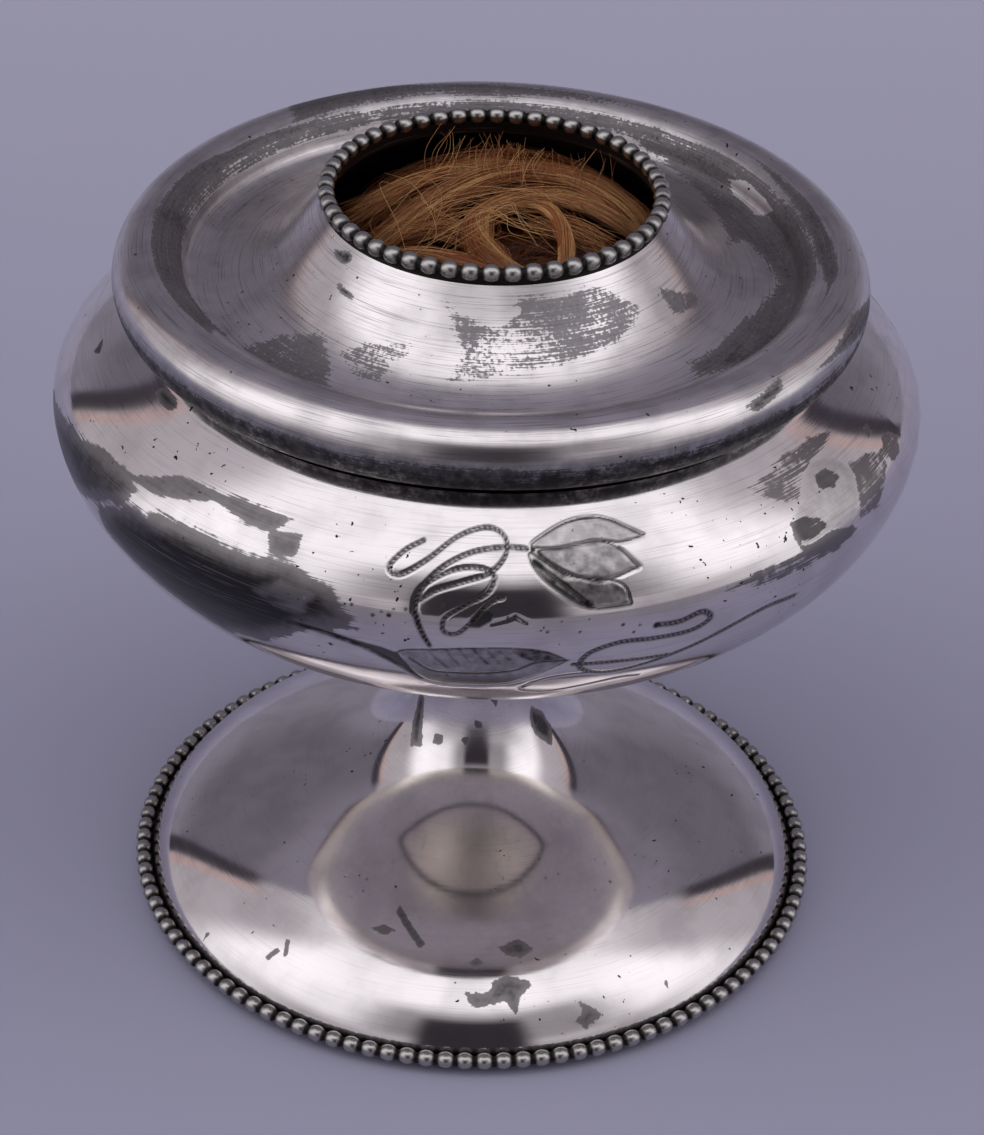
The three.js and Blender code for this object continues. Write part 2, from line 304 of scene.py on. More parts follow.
def silverPlate(name, wear):
    # electroplated silver, spun and burnished, then worn: a soft mirror with turning lines, pits,
    # and a sulphide film that keeps a dim grey-brown reflection
    material, tree, shader = newMaterial(name)
    look = {**platedSilver, **wear}
    place = addNode(tree, "ShaderNodeTexCoord", {}, out="Object")
    spot = addNode(tree, "ShaderNodeSeparateXYZ", {0: place}).node.outputs
    along, filmField, cutField, shadedField, dullField, warmField = (
        addNode(tree, "ShaderNodeAttribute", {}, out="Fac", attribute_name=field)
        for field in ("along", "film", "cut", "shaded", "dull", "warm"))
    blotch, flake, pitNoise, pitGroup, wave, mottle = (
        addNode(tree, noiseKind, {"Vector": place, "Scale": 1 / (look[size] * mm), "Detail": detail})
        for size, detail in (("blotchSize", 6), ("flakeSize", 3), ("pitSize", 2), ("pitGroup", 2),
                             ("waveSize", 1), ("mottleSize", 4)))
    # turning lines: fine across the outline, long round the axis
    across = addNode(tree, mathKind, {0: along, 1: 1 / look["streakWide"]}, **multiply)
    roundX, roundY = (addNode(tree, mathKind, {0: axis, 1: 1 / (look["streakLong"] * mm)}, **multiply)
                      for axis in spot[:2])
    lines = addNode(tree, "ShaderNodeCombineXYZ", {0: across, 1: roundX, 2: roundY})
    streak = addNode(tree, noiseKind, {"Vector": lines, "Scale": 1.0, "Detail": 2.0})
    # film edge: the drawn patch, broken up by blotches, flakes and turning lines
    ragged, edge = filmField, 0.5
    for pattern, key in ((blotch, "blotchShare"), (flake, "flakeShare"), (streak, "streakShare")):
        ragged = addNode(tree, mathKind, {0: pattern, 1: look[key], 2: ragged}, **multiplyAdd)
        edge += look[key] / 2
    film, thick = (
        addNode(tree, rangeKind, {0: ragged, 1: edge + start, 2: edge + full}, **softStep)
        for start, full in (look["filmSpan"], look["thickSpan"]))
    # brushed lines, a thin uneven bloom, bright scratches in the thick film, and places where pits gather
    brushed, haze, scratch, group = (
        addNode(tree, rangeKind,
                {0: pattern, 1: look[key + "Span"][0], 2: look[key + "Span"][1], 4: look[key]}, **softStep)
        for key, pattern in (("brushed", streak), ("haze", blotch), ("scratch", streak), ("group", pitGroup)))
    scratched = addNode(tree, mathKind, {0: thick, 1: scratch}, **multiply)
    pitted = addNode(tree, mathKind, {0: pitNoise, 1: group})
    pitSpan = {1: look["pitLevel"], 2: look["pitLevel"] + look["pitEdge"]}
    pit = addNode(tree, rangeKind, {0: pitted, **pitSpan}, **softStep)
    patchy = addNode(tree, rangeKind, dict(enumerate([mottle, *look["patchy"]])))
    # the shaded field: engraved shading on the bowl, and painted shade on the cover's back and roll
    hatchAndShade = addNode(tree, mathKind, {0: shadedField, 1: patchy}, use_clamp=True, **multiply)
    colour = linear(look["silver"])
    for key, share in (("film", brushed), ("film", haze), ("warm", warmField), ("film", film),
                       ("thickFilm", thick), ("film", scratched), ("pit", pit), ("shaded", hatchAndShade),
                       ("cut", cutField)):
        colour = addNode(tree, mixKind, {0: share, 6: colour, 7: linear(look[key])}, **blend)
    tree.links.new(colour, shader.inputs["Base Color"])
    shader.inputs["Metallic"].default_value = 1.0
    rough = look["roughness"] - look["meanRough"]
    for pattern, share in ((streak, look["streakRough"]), (blotch, look["blotchRough"]),
                           (film, look["filmRoughness"] - look["roughness"]), (cutField, look["cutRough"]),
                           (hatchAndShade, look["shadedRough"]), (dullField, look["dullRough"])):
        rough = addNode(tree, mathKind, {0: pattern, 1: share, 2: rough}, **multiplyAdd)
    tree.links.new(rough, shader.inputs["Roughness"])
    height = addNode(tree, mathKind, {0: pit, 1: look["pitHeight"]}, **multiply)
    for pattern, share in ((streak, look["streakHeight"]), (wave, look["waveHeight"])):
        height = addNode(tree, mathKind, {0: pattern, 1: share, 2: height}, **multiplyAdd)
    relief = {"Height": height, "Strength": look["bump"], "Distance": look["bumpDepth"] * mm}
    bump = addNode(tree, "ShaderNodeBump", relief)
    tree.links.new(bump, shader.inputs["Normal"])
    return material


beadWire = dict(seam="#2f2c2a", crown="#b0acaa", grimeSize=0.7, grimeShare=0.5, wornFrom=0.5, wornTo=1.1,
                seamRough=0.5, crownRough=0.27)


def oxidisedBeads():
    # cast silver bead wire, blackened and rubbed bright on its crowns: dark seams between soft grey beads
    material, tree, shader = newMaterial("oxidised silver bead wire")
    place = addNode(tree, "ShaderNodeTexCoord", {}, out="Object")
    crown = addNode(tree, "ShaderNodeAttribute", {}, out="Fac", attribute_name="crown")
    grain = {"Vector": place, "Scale": 1 / (beadWire["grimeSize"] * mm), "Detail": 3.0}
    grime = addNode(tree, noiseKind, grain)
    worn = addNode(tree, mathKind, {0: grime, 1: beadWire["grimeShare"], 2: crown}, **multiplyAdd)
    share = addNode(tree, rangeKind, {0: worn, 1: beadWire["wornFrom"], 2: beadWire["wornTo"]}, **softStep)
    tones = {6: linear(beadWire["seam"]), 7: linear(beadWire["crown"])}
    tone = addNode(tree, mixKind, {0: share, **tones}, **blend)
    tree.links.new(tone, shader.inputs["Base Color"])
    shader.inputs["Metallic"].default_value = 1.0
    rough = addNode(tree, rangeKind, {0: share, 3: beadWire["seamRough"], 4: beadWire["crownRough"]})
    tree.links.new(rough, shader.inputs["Roughness"])
    return material


gingerHair = dict(darkBrownAndShade="#1c0f07", length="#955226", tip="#dcaa70", half=0.5, roughness=0.4, gloss=0.5)


def humanHair():
    # combed ginger hair: near-black brown to pale gold by the shade field, with a soft streaked gloss;
    # the dark end is partly the hair's own tone and partly painted shade
    material, tree, shader = newMaterial("ginger hair")
    shade = addNode(tree, "ShaderNodeAttribute", {}, out="Fac", attribute_name="shade")
    tone = linear(gingerHair["darkBrownAndShade"])
    for key, start, full in (("length", 0, gingerHair["half"]), ("tip", gingerHair["half"], 1)):
        share = addNode(tree, rangeKind, {0: shade, 1: start, 2: full})
        tone = addNode(tree, mixKind, {0: share, 6: tone, 7: linear(gingerHair[key])}, **blend)
    tree.links.new(tone, shader.inputs["Base Color"])
    shader.inputs["Roughness"].default_value = gingerHair["roughness"]
    shader.inputs["Specular IOR Level"].default_value = gingerHair["gloss"]
    return material


def allRound(columns):
    # evenly spaced azimuths, from the back round by the left
    return np.arange(columns) * 2 * math.pi / columns - math.pi


def outlineField(across, along, patches, unit=1):
    # signed distance to each drawn outline, plus inside, over its soft edge: 0.5 on the line, more within,
    # up to the patch's own most; the first coordinate of a corner is in units of so many mm
    field = np.zeros(len(across))
    for soft, most, *outline in patches:
        corners = np.array(outline, float) * [unit, 1]
        ahead = np.roll(corners, -1, axis=0)
        edge = ahead - corners
        offset = np.stack([across, along], 1)[:, None] - corners
        share = np.clip((offset * edge).sum(-1) / (edge ** 2).sum(-1), 0, 1)
        gap = np.linalg.norm(offset - share[..., None] * edge, axis=-1).min(1)
        low = np.minimum(corners[:, 1], ahead[:, 1]) <= along[:, None]
        high = np.maximum(corners[:, 1], ahead[:, 1]) > along[:, None]
        level = np.where(edge[:, 1] == 0, 1e-9, edge[:, 1])
        crossing = corners[:, 0] + (along[:, None] - corners[:, 1]) * edge[:, 0] / level
        inside = (low & high & (crossing > across[:, None])).sum(1) % 2
        field = np.maximum(field, np.clip(0.5 + np.where(inside, gap, -gap) / soft, 0, most))
    return field


def rubbedOff(across, along, patches, unit):
    # how much film is gone: twice what the field of a rubbed patch has over 0.3
    return 2 * np.clip(outlineField(across, along, patches, unit) - 0.3, 0, 1)


def ringField(along, bands):
    # film that runs right round: full within half its width of the middle, fading over its soft edge
    return np.max([most * np.clip(0.5 + (half - np.abs(along - middle)) / soft, 0, 1)
                   for middle, half, soft, most in bands], axis=0)


# bowl with its engraving
bowl = dict(
    radius=55, bottom=47.1, bellyHeight=75.8, bottomPull=43.9, bellyPullDown=7.7, bellyPullUp=3.8,
    shoulderPull=9.4, shoulderRadius=44.6, shoulderRise=12.1, shoulderSlope=35,
    lipInset=1.2, lipBend=1.4, lipHeight=1.7, sheet=0.9,
    fineLow=-14.2, fineHigh=13.9, fineStep=0.19, drawnTurn=46, drawnHalf=16,   # the engraved front
    columnsFrom=(-180, -96, -25, 30, 43.5, 73, 178),   # degrees where the spacing of columns changes
    columnSteps=(6, 0.8, 0, 0.3, 0.55, 6),             # and the spacings, 0 for the fine one
    bellySteps=400, underRows=22, topRows=9, insideRows=18,
    dullFrom=-17, dullOver=9, underDull=0.5,           # the underside was never polished
    scouredMost=0.7, scouredShade=0.45, insideFilm=0.25,
)
# tarnish on the bowl: soft edge, most, then corners in degrees round the front and mm above the belly
bowlFilm = [
    (4, 1.0, (-85, 1), (-69, 4), (-59, 6), (-54, 6), (-50, 5), (-52, 2), (-57, 0), (-66, -4), (-80, -4)),
    (2.5, 0.75, (-56, 5), (-50, 7), (-45, 9.5), (-33, 10.5), (-26, 10), (-29, 7.5), (-38, 8.5), (-46, 6)),
    (2, 0.75, (-29, 8), (-24, 8.5), (-24, 6), (-27, 5)),
    (5, 1.7, (-58, -1), (-50, 3), (-41, 5), (-34, 4.5), (-26, 5.5), (-18, 4), (-15, -1), (-21, -3),
     (-28, -8.5), (-36, -12), (-46, -9), (-58, -5)),
    (1.5, 1.4, (-61, 15), (-59.5, 16.5), (-55, 16), (-53.5, 15), (-57, 14.5)),
    (0.8, 1, (-82, 12), (-80, 10), (-78, 11)),
    (9, 0.7, (96, 3), (114, 9), (140, 8), (164, 1), (150, -8), (118, -6)),
    (9, 0.68, (-176, 8), (-150, 11), (-122, 7), (-110, -1), (-132, -5), (-160, 1)),
    (4, 0.56, (40, 12), (48.5, 13.8), (55.5, 13.5), (61, 12.7), (53, 11.6), (49.5, 10.4), (46.5, 8.3),
     (43, 9.5)),
    (4, 0.58, (57, 8.3), (62.5, 7.6), (68, 6), (64, 3.6), (60, 1.6), (55.4, 1.8), (56, 4.8)),
    (1.6, 0.66, (43, 4.4), (44.4, 3.3), (49.4, 3.4), (53, 2.6), (55, 0.9), (49, 0.6), (44, 1.8)),
    (1.4, 0.62, (68, 7.3), (70.7, 6.9), (72, 5.4), (70, 4), (67.4, 4), (66, 5.6)),
    (1, 0.66, (66, 9.7), (67.8, 9.8), (67.2, 8.8), (65.5, 8.6)),
    (2.5, 0.55, (30, 1.5), (36, 2.6), (45.4, 2.6), (54, 1.4), (50, 0.4), (42, 0.6), (36, 0.8)),
]
bowlRubbed = [
    (4, 0.6, (-29, 0.4), (-25, 2.4), (-21, 1.8), (-22, -0.2), (-26, -1)),
]
bowlScoured = [   # a patch rubbed matt, and the film left within it
    (1, 1, (52.3, 10.9), (56, 10), (58, 7.7), (56.5, 4.8), (55, 2.9), (53, 2.3), (49.5, 3.4), (47, 3.2),
     (44.3, 3.3), (43.8, 5.6), (45.6, 7.5), (47.5, 8), (50, 10.2)),
]
bowlSpots = [
    (2, 0.7, (51.4, 9.8), (54, 9.6), (55.6, 8), (53.3, 7), (50.6, 8.2)),
    (1.6, 0.66, (43.2, 6.6), (46, 6.2), (48.4, 5.2), (49, 3.8), (46, 3.4), (43, 4.2)),
]
bowlWear = dict(
    blotchShare=0.45, flakeShare=0.3, flakeSize=1.1, streakShare=0.45, brushed=0.3, pitLevel=0.77, haze=0.22)


def bowlLine():
    # from the bottom up: belly, shoulder, bend and lip
    belly = np.array([bowl["radius"], bowl["bellyHeight"]])
    shoulder = np.array([bowl["shoulderRadius"], belly[1] + bowl["shoulderRise"]])
    lipRadius = shoulder[0] - bowl["lipInset"]
    bendTop = shoulder[1] + bowl["lipBend"]
    corner = shoulder[1] + bowl["lipInset"] * math.tan(math.radians(bowl["shoulderSlope"]))
    return joined(
        handleCurve(bowl["bellySteps"], (0, bowl["bottom"]), (bowl["bottomPull"], bowl["bottom"]),
                    belly - (0, bowl["bellyPullDown"]), belly),
        handleCurve(160, belly, belly + (0, bowl["bellyPullUp"]),
                    shoulder + arm(-bowl["shoulderSlope"], bowl["shoulderPull"]), shoulder),
        handleCurve(30, shoulder, (lipRadius, corner), (lipRadius, bendTop)),
        handleCurve(20, (lipRadius, bendTop), (lipRadius, bendTop + bowl["lipHeight"])),
    )


# the drawing on the belly, in mm to the right of the front line and mm above the belly line
tendrils = [
    [(-7.5, 10.7), (-9.7, 9.2), (-11.2, 7), (-9.8, 6.3), (-7, 8.2), (-3.2, 11.5), (0.5, 12.8), (2.8, 11.8),
     (3, 9.6), (1.2, 7.4), (-2, 6.2), (-5.2, 5), (-7.3, 3.6)],
    [(-5.7, -2.2), (-7, 1), (-7.6, 3.4), (-6.6, 5.5), (-3.6, 7.4), (-0.5, 7.9), (1.5, 7), (0.8, 5),
     (-1.8, 3.5), (-4, 1.9), (-4.1, 0.2), (-2.6, 0), (-1.1, 1.4), (0.4, 3.3), (1.8, 4.3), (2.7, 4.5)],
    [(5.7, 10.2), (2.8, 10.4), (-1.2, 9.7), (-4.6, 7.8), (-6.9, 5), (-7.5, 2.4), (-6.7, -0.2), (-5.7, -2.2)],
    [(41.4, -3.6), (36.5, -3.2), (31.5, -4.4), (26, -6.5), (20, -8.2), (15.5, -8.5), (12.3, -6.6),
     (12.9, -3.8), (16.5, -2.4), (21, -2.7), (25.5, -2.8), (28, -1.6), (26.8, -0.2), (23.8, -0.8),
     (21, -0.6)],
    [(11.4, -5.7), (17, -6.2), (23.4, -6.9)],
]
# later tendrils are bolder; of the darkness of edges and ticks, so much comes and goes along the rope
rope = dict(width=0.36, line=0.13, pitch=0.66, depth=0.1, bold=1.35, boldFrom=3, edgeTick=0.1, innerTick=0.3,
            innerDark=0.7)
burin = dict(steps=40, reach=1.2, dark=0.95, lean=0.08, width=0.14, depth=0.1, wall=0.24)   # for single lines
flatTool = dict(depth=0.04, edge=1.5)
fillEdge = dict(soft=0.5, gain=2, start=0.9)
fineLines = [
    [(6.6, -9.8), (8.5, -8.6), (11.5, -8), (15, -8.2)],
    [(6.5, -9.8), (5.4, -12.2), (8.6, -13.6), (13, -12.4), (18, -11), (21, -11.6)],
    [(6.6, 8.8), (8.9, 6.6), (10.9, 4.9), (12.4, 3.5)],
    [(-8.1, -4.9), (-5.6, -7.1), (-2.2, -7.3), (1.6, -7), (4.5, -6.3), (6.8, -4.8), (10.3, -4.6)],
    [(1.3, 1.4), (3.2, 2), (4.1, 2.4), (5.4, 1.6)],
]
# outlines start at their points
petals = [
    [(21.2, 10.4), (18, 10), (14.5, 10.5), (9.5, 10), (6.2, 10.5), (8.2, 12), (11, 13.2), (14, 13.6),
     (17, 13)],
    [(19.5, 6.8), (15, 5.8), (12, 6.4), (9.3, 7.8), (7, 9.9), (10, 10.1), (14.5, 10.6), (17.4, 9.5)],
    [(17.7, 2.8), (17.2, 4.8), (15.5, 5.8), (11, 6.6), (8.5, 8), (6, 9.6), (7, 7.2), (9.5, 4.9), (13, 3)],
]
leaf = [(10.7, -4.8), (8, -7), (5.5, -9), (3, -10.4), (-0.5, -11.1), (-4.6, -11.1), (-7.2, -9.4),
        (-8.6, -6.4), (-9.4, -3.8), (-5, -2.7), (0, -2.1), (4.5, -2.1), (8, -2.9)]
stemBlade = [(-23.8, -2.5), (-20.2, -2.3), (-16.9, -2.4), (-14, -2.9), (-11.4, -3.3), (-9.5, -4),
             (-8.4, -6.2), (-6.5, -10.1), (-9.7, -6.6), (-12.9, -4.4), (-15.7, -3.4), (-19.2, -2.8)]
bud = [(-1.2, 2.1), (-0.3, 3.2), (1.1, 3.3), (1.8, 2.7), (1.4, 1.7), (0, 0.8), (-1.3, 0.8)]
leafWedge = [(3.3, -2.3), (6.1, -2.2), (8.2, -2.8), (10.3, -4.3), (9.1, -4.6), (6.8, -4.8), (4.8, -3.7)]
# shading cut with a flat tool: half width, how dark, then its line
shadeCuts = [
    (0.7, 0.6, (15, 12.4), (17.9, 10.8)), (0.5, 0.55, (17.5, 12.5), (20.3, 10.7)),
    (0.35, 0.4, (9.2, 11.4), (11.3, 12.7)), (0.4, 0.45, (12.6, 11.1), (14.4, 11.9)),
    (0.5, 0.9, (7.2, 9.5), (10, 6.8)), (0.7, 0.7, (9.3, 9.4), (12, 7.4)),
    (0.8, 0.75, (12.4, 8.5), (14.4, 6.7)), (0.8, 0.7, (15.6, 8.9), (17, 7.3)),
    (0.3, 0.8, (17.5, 9.4), (19.3, 6.9)),
    (0.6, 1, (6.7, 8.6), (8.5, 6.7), (10.7, 4.5), (12.8, 3.4)),
    (0.9, 0.85, (11.8, 5.5), (14.1, 4.2), (16.4, 3.6)), (0.4, 0.9, (15.7, 5.3), (17.4, 3.7)),
    (0.3, 0.9, (-5.7, -3.3), (-3.6, -6.3)), (0.25, 0.8, (-3.8, -2.8), (-2.2, -5.6)),
    (0.3, 0.85, (-2.2, -2.5), (-0.8, -5.1)), (0.3, 0.85, (-0.6, -2.4), (1.1, -5)),
    (0.3, 0.8, (1, -2.5), (2.5, -4.9)), (0.3, 0.8, (2.4, -2.6), (3.7, -4.1)),
    (0.4, 1, (-23, -2.6), (-19.2, -2.8), (-15.7, -3.4), (-12.9, -4.4), (-9.7, -6.6), (-7, -9.6)),
]
# dark pits along the belly: place and half width
specks = [
    (-11.4, 1.8, 0.25), (-10.5, 1.5, 0.45), (-10, 2.3, 0.2), (-8.6, 2.5, 0.3), (-11.2, -1.1, 0.25),
    (-4.3, 3.4, 0.25), (3.2, 2.2, 0.3), (4.1, 2.4, 0.35), (5, 1.7, 0.3), (7.4, 0.9, 0.2), (7.8, 0.3, 0.25),
    (9.4, 1.6, 0.2), (11.6, 0, 0.25), (12.7, 1.6, 0.2), (16.7, 0.3, 0.35), (18.1, -1, 0.25),
    (18.8, -0.1, 0.25), (20.9, -0.6, 0.7), (13.8, 2.7, 0.25), (-19.5, -5.9, 0.2), (-17.8, -4.8, 0.45),
    (-19.1, -7.2, 0.25), (-15, 2, 0.3), (-12.4, 1.2, 0.35), (-12, 0.2, 0.2),
]
speckEdge = dict(full=2.4, fall=3, dark=0.95)
knot = dict(x=6.4, y=10.1, half=0.55)   # where petals and tendril meet


def catmullRom(before, start, end, after, t):
    # each stretch leaves a point along the chord of its two neighbours, as a cubic in the share t
    return 0.5 * (2 * start + (end - before) * t + (2 * before - 5 * start + 4 * end - after) * t ** 2
                  + (3 * start - before - 3 * end + after) * t ** 3)


def splineAt(points, steps):
    # so many steps of the curve in each stretch, and the last point
    points = np.array(points, float)
    padded = np.vstack([2 * points[0] - points[1], points, 2 * points[-1] - points[-2]])
    t = (np.arange(steps) / steps)[:, None]
    four = [padded[offset:len(padded) - 3 + offset, None] for offset in range(4)]
    line = catmullRom(*four, t)
    return np.vstack([line.reshape(-1, points.shape[1]), points[-1]])


def strokes(across, up, line):
    # nearest distance to a drawn line, with its side as the sign, and the way gone along it
    low, high = line.min(0) - burin["reach"], line.max(0) + burin["reach"]
    near = np.flatnonzero((across > low[0]) & (across < high[0]) & (up > low[1]) & (up < high[1]))
    offset = np.stack([across[near], up[near]], 1)[:, None] - line
    closest = (offset ** 2).sum(-1).argmin(1)
    offset = offset[np.arange(len(near)), closest]
    heading = np.gradient(line, axis=0)[closest]
    side = np.sign(heading[:, 0] * offset[:, 1] - heading[:, 1] * offset[:, 0])
    return near, side * np.linalg.norm(offset, axis=1), lengthAlong(line)[closest]


def engrave(across, up):
    # depth of the cut in mm, how dark the lines are, and how dark the shaded petals and leaf are
    cut, shaded, depth = (np.zeros(len(across)) for field in range(3))
    for number, line in enumerate(tendrils):
        # two edge lines with slanting ticks between them, as a rope is drawn
        near, side, way = strokes(across, up, splineAt(line, burin["steps"]))
        side = side / (rope["bold"] if number >= rope["boldFrom"] else 1)
        tick = np.sin(2 * math.pi * (way / rope["pitch"] + side / rope["width"] / 2))
        edge = np.exp(-((np.abs(side) - rope["width"] / 2) / rope["line"]) ** 2)
        edge = edge * (1 - rope["edgeTick"] + rope["edgeTick"] * tick)
        between = np.where(np.abs(side) < rope["width"] / 2, rope["innerDark"] + rope["innerTick"] * tick, 0)
        cut[near] = np.maximum(cut[near], np.maximum(edge, between))
    depth += rope["depth"] * cut
    for line in fineLines + [points + points[:1] for points in petals + [leaf]]:
        # a slanting cut: black floor on one side, bright wall on the other
        near, side = strokes(across, up, splineAt(line, burin["steps"]))[:2]
        floor = burin["dark"] * np.exp(-((side + burin["lean"]) / burin["width"]) ** 2)
        cut[near] = np.maximum(cut[near], floor)
        depth[near] = np.maximum(depth[near], burin["depth"] * np.exp(-(side / burin["wall"]) ** 2))
    for half, dark, *line in shadeCuts:
        near, side = strokes(across, up, splineAt(line, burin["steps"]))[:2]
        fade = np.clip(flatTool["edge"] - np.abs(side) / half, 0, 1) * dark
        shaded[near] = np.maximum(shaded[near], fade)
        depth[near] = np.maximum(depth[near], flatTool["depth"] * fade)
    fills = [(0.5, shaded, petals[0]), (0.72, shaded, petals[1]), (0.82, shaded, petals[2]),
             (0.6, shaded, leaf), (1, shaded, leafWedge), (0.85, cut, stemBlade), (0.9, cut, bud)]
    for dark, field, points in fills:
        inside = outlineField(across, up, [(fillEdge["soft"], 1, *points)])
        inside = np.clip(inside * fillEdge["gain"] - fillEdge["start"], 0, 1)
        field[:] = np.maximum(field, inside * dark)
    for x, y, half in [*specks, (knot["x"], knot["y"], knot["half"])]:
        dark = speckEdge["full"] - speckEdge["fall"] * np.hypot(across - x, up - y) / half
        cut = np.maximum(cut, np.clip(dark, 0, speckEdge["dark"]))
    return depth, cut, np.clip(shaded, 0, 1)


def makeBowl():
    line = bowlLine()
    along = lengthAlong(line)
    belly = along[bowl["bellySteps"]]
    marks = np.concatenate([
        np.linspace(0, belly + bowl["fineLow"], bowl["underRows"])[:-1],
        belly + np.arange(bowl["fineLow"], bowl["fineHigh"], bowl["fineStep"]),
        np.linspace(belly + bowl["fineHigh"], along[-1], bowl["topRows"]),
    ])
    outside = resampled(line, marks)
    inside = walled(resampled(line, np.linspace(0, along[-1], bowl["insideRows"])), bowl["sheet"])[::-1]
    inside[-1, 0] = 0
    fine = math.degrees(bowl["fineStep"] / bowl["radius"])
    stretches = zip(bowl["columnsFrom"], bowl["columnsFrom"][1:], bowl["columnSteps"])
    columns = [np.arange(start, end, step or fine) for start, end, step in stretches]
    azimuths = np.radians(np.concatenate(columns))
    shape = turned(np.vstack([outside, inside]), azimuths)
    points, turn = shape["points"], shape["turn"]
    up, across = shape["along"] - belly, turn * bowl["radius"]
    front = (np.abs(turn) < math.radians(bowl["drawnTurn"])) & (np.abs(up) < bowl["drawnHalf"])
    depth, cut, shaded = (np.zeros(len(points)) for field in range(3))
    depth[front], cut[front], shaded[front] = engrave(across[front], up[front])
    # the cuts go in along the normal, which is the outline's slope turned by a quarter
    slope = np.gradient(np.vstack([outside, inside]), axis=0)[1:-1]
    slope /= np.linalg.norm(slope, axis=1, keepdims=True)
    outward = np.stack(np.broadcast_arrays(
        slope[:, 1, None] * np.sin(azimuths), -slope[:, 1, None] * np.cos(azimuths), -slope[:, 0, None]), -1)
    points[:-2] -= outward.reshape(-1, 3) * depth[:-2, None]
    degree = math.radians(1) * bowl["radius"]
    film = outlineField(across, up, bowlFilm, degree) - rubbedOff(across, up, bowlRubbed, degree)
    scoured = np.clip(outlineField(across, up, bowlScoured, degree), 0, bowl["scouredMost"])
    film = np.maximum(film * (1 - scoured), outlineField(across, up, bowlSpots, degree))
    film = np.where(shape["along"] <= along[-1] + 0.01, film, bowl["insideFilm"])   # even and thin inside
    under = np.clip((bowl["dullFrom"] - up) / bowl["dullOver"], 0, 1)
    dull = np.maximum(bowl["underDull"] * under, scoured)
    shaded = np.maximum(shaded, bowl["scouredShade"] * scoured)
    obj = makePiece("bowl", shape, silverPlate("worn silver plate bowl", bowlWear),
                    dict(along=shape["along"], film=film, cut=cut, shaded=shaded, dull=dull, warm=under))
    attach(obj, "receiver")
    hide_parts("bowl_shell")


makeBowl()

# foot, neck and the plate that carries the bowl
foot = dict(
    radius=44.5, land=2, edge=1.9, rimWidth=14.8, rimTurn=2, rimSlope=72.5, plateSlope=21, flareWidth=13.4,
    flareRise=15, neckRadius=7.4, headRadius=10, headRise=10, headHeight=45.6, sheet=0.9,
    plateShare=0.208, plateGap=0.3, markRadius=36,
    markedTo=62, markedStep=0.4, plainStep=1.5,   # degrees of the marked front, and the spacing of columns
    dullFrom=24, dullOver=5, dullMost=0.5,        # where the neck loses its polish
    headPull=0.75, ease=0.2, innerEase=0.05, insideFilm=0.3,
    grimeAndShadeWidth=0.9, grimeAndShadeOver=0.6, grimeAndShadeLeast=0.2, grimeAndShadeMost=0.8,   # at the edge of the plate: tarnish and painted shade
)
# marks on the foot: soft edge, most, then corners in degrees round the front and mm from the axis
footFilm = [
    (1.2, 0.9, (-18, 29.5), (-9.5, 34), (-10.5, 34.8), (-18.6, 30.5)),
    (1.4, 0.9, (-22.5, 33.6), (-20, 32.6), (-16.5, 33), (-19, 34)),
    (2, 0.9, (6.5, 34), (11, 33), (14.5, 34.5), (11, 35.5), (8, 35)),
    (2, 0.9, (-0.5, 39.3), (4, 39.3), (5, 38), (8, 37.4), (13, 38.5), (10, 39.9), (9, 41.8), (7, 40.3),
     (1, 40.9)),
    (1.8, 0.9, (19.5, 40.8), (22, 41.6), (24.5, 42.8), (21, 43.6), (19, 42.9), (21, 42.1)),
    (1, 0.9, (-40.2, 41.5), (-39, 39.9), (-37.9, 40.1), (-39, 41.5)),
    (1, 0.9, (-36.8, 40.5), (-38.4, 38.7), (-37.4, 38.5), (-35.8, 40.4)),
    (1.2, 0.9, (0, 35.9), (2, 35.2), (3.2, 35.9), (1.2, 36.6)),
    (1, 0.9, (-54.6, 42.8), (-53.4, 42.8), (-54, 43.7)), (1, 0.9, (37.4, 41.9), (38.6, 41.9), (38, 42.8)),
]
# grime on the neck and its flare: soft edge, most, then corners in degrees round the front and mm of height
neckFilm = [
    (1.6, 1, (-76, 29), (-66, 28.5), (-52, 25), (-44, 23.6), (-54, 22.8), (-66, 24.6), (-80, 27.5)),
    (1.6, 1.1, (58, 26.7), (66, 28), (84, 25.5), (82, 23.4), (66, 22.3), (57, 24.5)),
    (1.2, 0.8, (-3, 28.8), (5, 28.3), (6, 27.4), (-2, 27.6)), (1, 0.8, (-15, 25.9), (-5, 26.4), (-8, 25.1)),
    (1.2, 0.8, (-39, 25.6), (-30, 25.8), (-28, 24.6), (-37, 24.4)),
    (1, 0.8, (13, 31.8), (23, 31.5), (20, 30.2)),
]
footWear = dict(
    blotchShare=0.1, flakeShare=0.35, flakeSize=0.6, streakShare=0.05, brushed=0.12, pitLevel=0.79,
    roughness=0.09, haze=0.22)
footRings = [(44.4, 0.3, 0.6, 1.1)]   # painted shade along the beads, where they meet the plate
discWear = dict(footWear, pitLevel=0.74)


def footLine():
    # from the edge in: rim, plate, flare, neck and its head; the plate is straight, at its slope
    edgeTop = np.array([foot["radius"], foot["edge"]])
    slope = math.tan(math.radians(foot["plateSlope"]))
    rim = edgeTop + foot["rimTurn"] * np.array([-1, math.tan(math.radians(foot["rimSlope"]))])

    def onPlate(radius):
        return np.array([radius, rim[1] + (rim[0] - radius) * slope])

    outer = onPlate(foot["radius"] - foot["rimWidth"])
    inner = onPlate(foot["neckRadius"] + foot["flareWidth"])
    waist = np.array([foot["neckRadius"], inner[1] + foot["flareRise"]])
    head = np.array([foot["headRadius"], foot["headHeight"]])
    headFoot = np.array([foot["neckRadius"], head[1] - foot["headRise"]])
    return joined(
        handleCurve(44, edgeTop, rim, outer),
        handleCurve(20, outer, inner),
        handleCurve(40, inner, onPlate(foot["neckRadius"]), waist),
        handleCurve(4, waist, headFoot),
        handleCurve(12, headFoot, headFoot + (0, foot["headPull"] * foot["headRise"]), head),
    )


